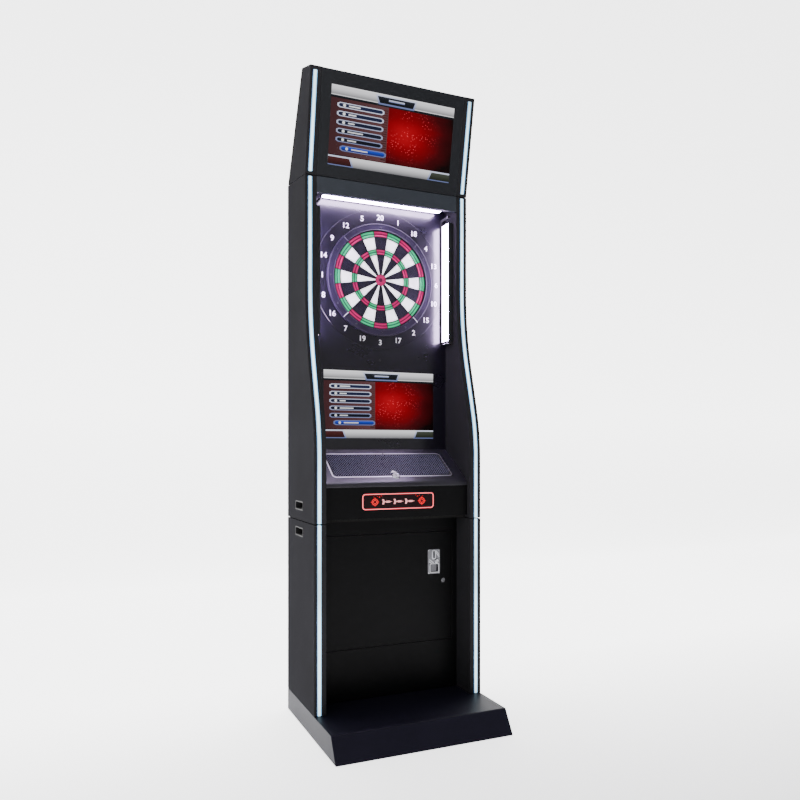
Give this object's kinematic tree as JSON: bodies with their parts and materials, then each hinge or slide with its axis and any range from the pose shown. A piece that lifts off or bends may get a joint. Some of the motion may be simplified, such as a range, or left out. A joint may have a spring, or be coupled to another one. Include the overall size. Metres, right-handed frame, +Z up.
{
  "type": "electronic dartboard machine",
  "caption": "Floor-standing electronic soft-tip dart machine with a lit target recess, player screen, control shelf, coin door and a forward-leaning head with a second screen.",
  "frame": {"origin": "on the floor, at the middle of the foot", "axes": "+Z up, -Y out of the front towards the player, +X to the player's right"},
  "size_m": [0.684, 0.606, 2.4944],
  "materials": {
    "foot_paint": "satin paint on board",
    "side_paint": "fine-textured paint on board",
    "front_paint": "fine-textured paint on board",
    "panel_board": "black laminate on board",
    "fascia_gloss": "gloss",
    "hinge_black": "black lacquer",
    "zinc_sheet": "plain sheet",
    "chrome_trim": "polished",
    "black_plastic": "matte",
    "sign_panel": "gloss",
    "overlay_rim": "silver print",
    "overlay_print": "gloss print",
    "button_cap": "gloss",
    "white_light": "lit diffuser",
    "edge_light": "lit diffuser",
    "screen_glass": "lit screen",
    "segment_black": "matte",
    "segment_white": "matte",
    "segment_red": "matte",
    "segment_green": "matte",
    "bull_dark": "matte",
    "web_black": "matte",
    "ring_plastic": "satin",
    "black_screw": "black"
  },
  "bodies": {
    "cabinet": {"foot_plinth": "foot_paint", "lower_side_left": "side_paint", "lower_side_right": "side_paint", "lower_back_panel": "panel_board", "lower_front_frame": "front_paint", "hinge_leaf_frame": "hinge_black", "hinge_pin": "hinge_black", "cash_box": "zinc_sheet", "power_supply": "zinc_sheet", "game_computer": "zinc_sheet", "power_inlet": "black_plastic", "fan_frame": "black_plastic", "fan_guard": "chrome_trim", "upper_side_left": "side_paint", "upper_side_right": "side_paint", "upper_floor": "panel_board", "upper_back_panel": "panel_board", "speakers": "black_plastic", "apron_panel": "front_paint", "sign_lens": "sign_panel", "sign_housing": "black_plastic", "control_shelf": "front_paint", "overlay_frame": "overlay_rim", "overlay_mesh": "overlay_print", "button_bezel": "chrome_trim", "header_panel": "front_paint", "recess_ceiling": "front_paint", "board_fascia": "fascia_gloss", "light_bar_housings": "black_plastic", "light_bar_diffusers": "white_light", "lower_screen": "screen_glass", "board_camera": "black_plastic", "singles_dark": "segment_black", "singles_light": "segment_white", "rings_red": "segment_red", "rings_green": "segment_green", "spider_web": "web_black", "catch_ring": "ring_plastic", "ring_screws": "black_screw", "sensor_matrix": "black_plastic", "target_backplate": "zinc_sheet", "head_side_left": "side_paint", "head_side_right": "side_paint", "head_front_frame": "front_paint", "head_shell": "front_paint", "upper_screen": "screen_glass", "light_strips": "edge_light"},
    "coin_door": {"coin_door": "front_paint", "hinge_leaf_door": "hinge_black", "lock_body": "chrome_trim", "coin_plate": "chrome_trim", "coin_mech": "black_plastic"},
    "lock_plug": {"lock_plug": "chrome_trim"},
    "reject_button": {"reject_button": "chrome_trim"},
    "return_flap": {"return_flap": "chrome_trim"},
    "select_button": {"select_button": "button_cap"},
    "outer_bull": {"outer_bull": "segment_red"},
    "inner_bull": {"inner_bull": "bull_dark"},
    "power_rocker": {"power_rocker": "black_plastic"},
    "fan_rotor": {"fan_rotor": "black_plastic"}
  },
  "joints": [
    {"name": "coin_door_swing", "type": "hinge", "parent": "cabinet", "child": "coin_door", "pos_m": [-0.27325, 0.0498, 0.5], "axis": [0, 0, -1], "range_deg": [0, 90]},
    {"name": "lock_turn", "type": "hinge", "parent": "coin_door", "child": "lock_plug", "pos_m": [0.234, 0.053, 0.519], "axis": [0, -1, 0], "range_deg": [0, 90]},
    {"name": "reject_press", "type": "slide", "parent": "coin_door", "child": "reject_button", "axis": [0, 1, 0], "range_m": [0, 0.004], "stiffness_N_per_m": 300, "springref_m": -0.002},
    {"name": "return_flap_swing", "type": "hinge", "parent": "coin_door", "child": "return_flap", "pos_m": [0.1915, 0.057, 0.584], "axis": [1, 0, 0], "range_deg": [0, 45]},
    {"name": "select_press", "type": "slide", "parent": "cabinet", "child": "select_button", "axis": [0, 0.5559, -0.8313], "range_m": [0, 0.003], "stiffness_N_per_m": 300, "springref_m": -0.003},
    {"name": "outer_bull_press", "type": "slide", "parent": "cabinet", "child": "outer_bull", "axis": [0, 1, 0], "range_m": [0, 0.001], "stiffness_N_per_m": 800, "springref_m": -0.001},
    {"name": "inner_bull_press", "type": "slide", "parent": "cabinet", "child": "inner_bull", "axis": [0, 1, 0], "range_m": [0, 0.001], "stiffness_N_per_m": 800, "springref_m": -0.001},
    {"name": "power_switch_rock", "type": "hinge", "parent": "cabinet", "child": "power_rocker", "pos_m": [0.1765, 0.292, 0.145], "axis": [1, 0, 0], "range_deg": [0, 12]},
    {"name": "fan_spin", "type": "hinge", "parent": "cabinet", "child": "fan_rotor", "pos_m": [-0.15, 0.27, 0.64], "axis": [0, 1, 0], "continuous": true}
  ]
}
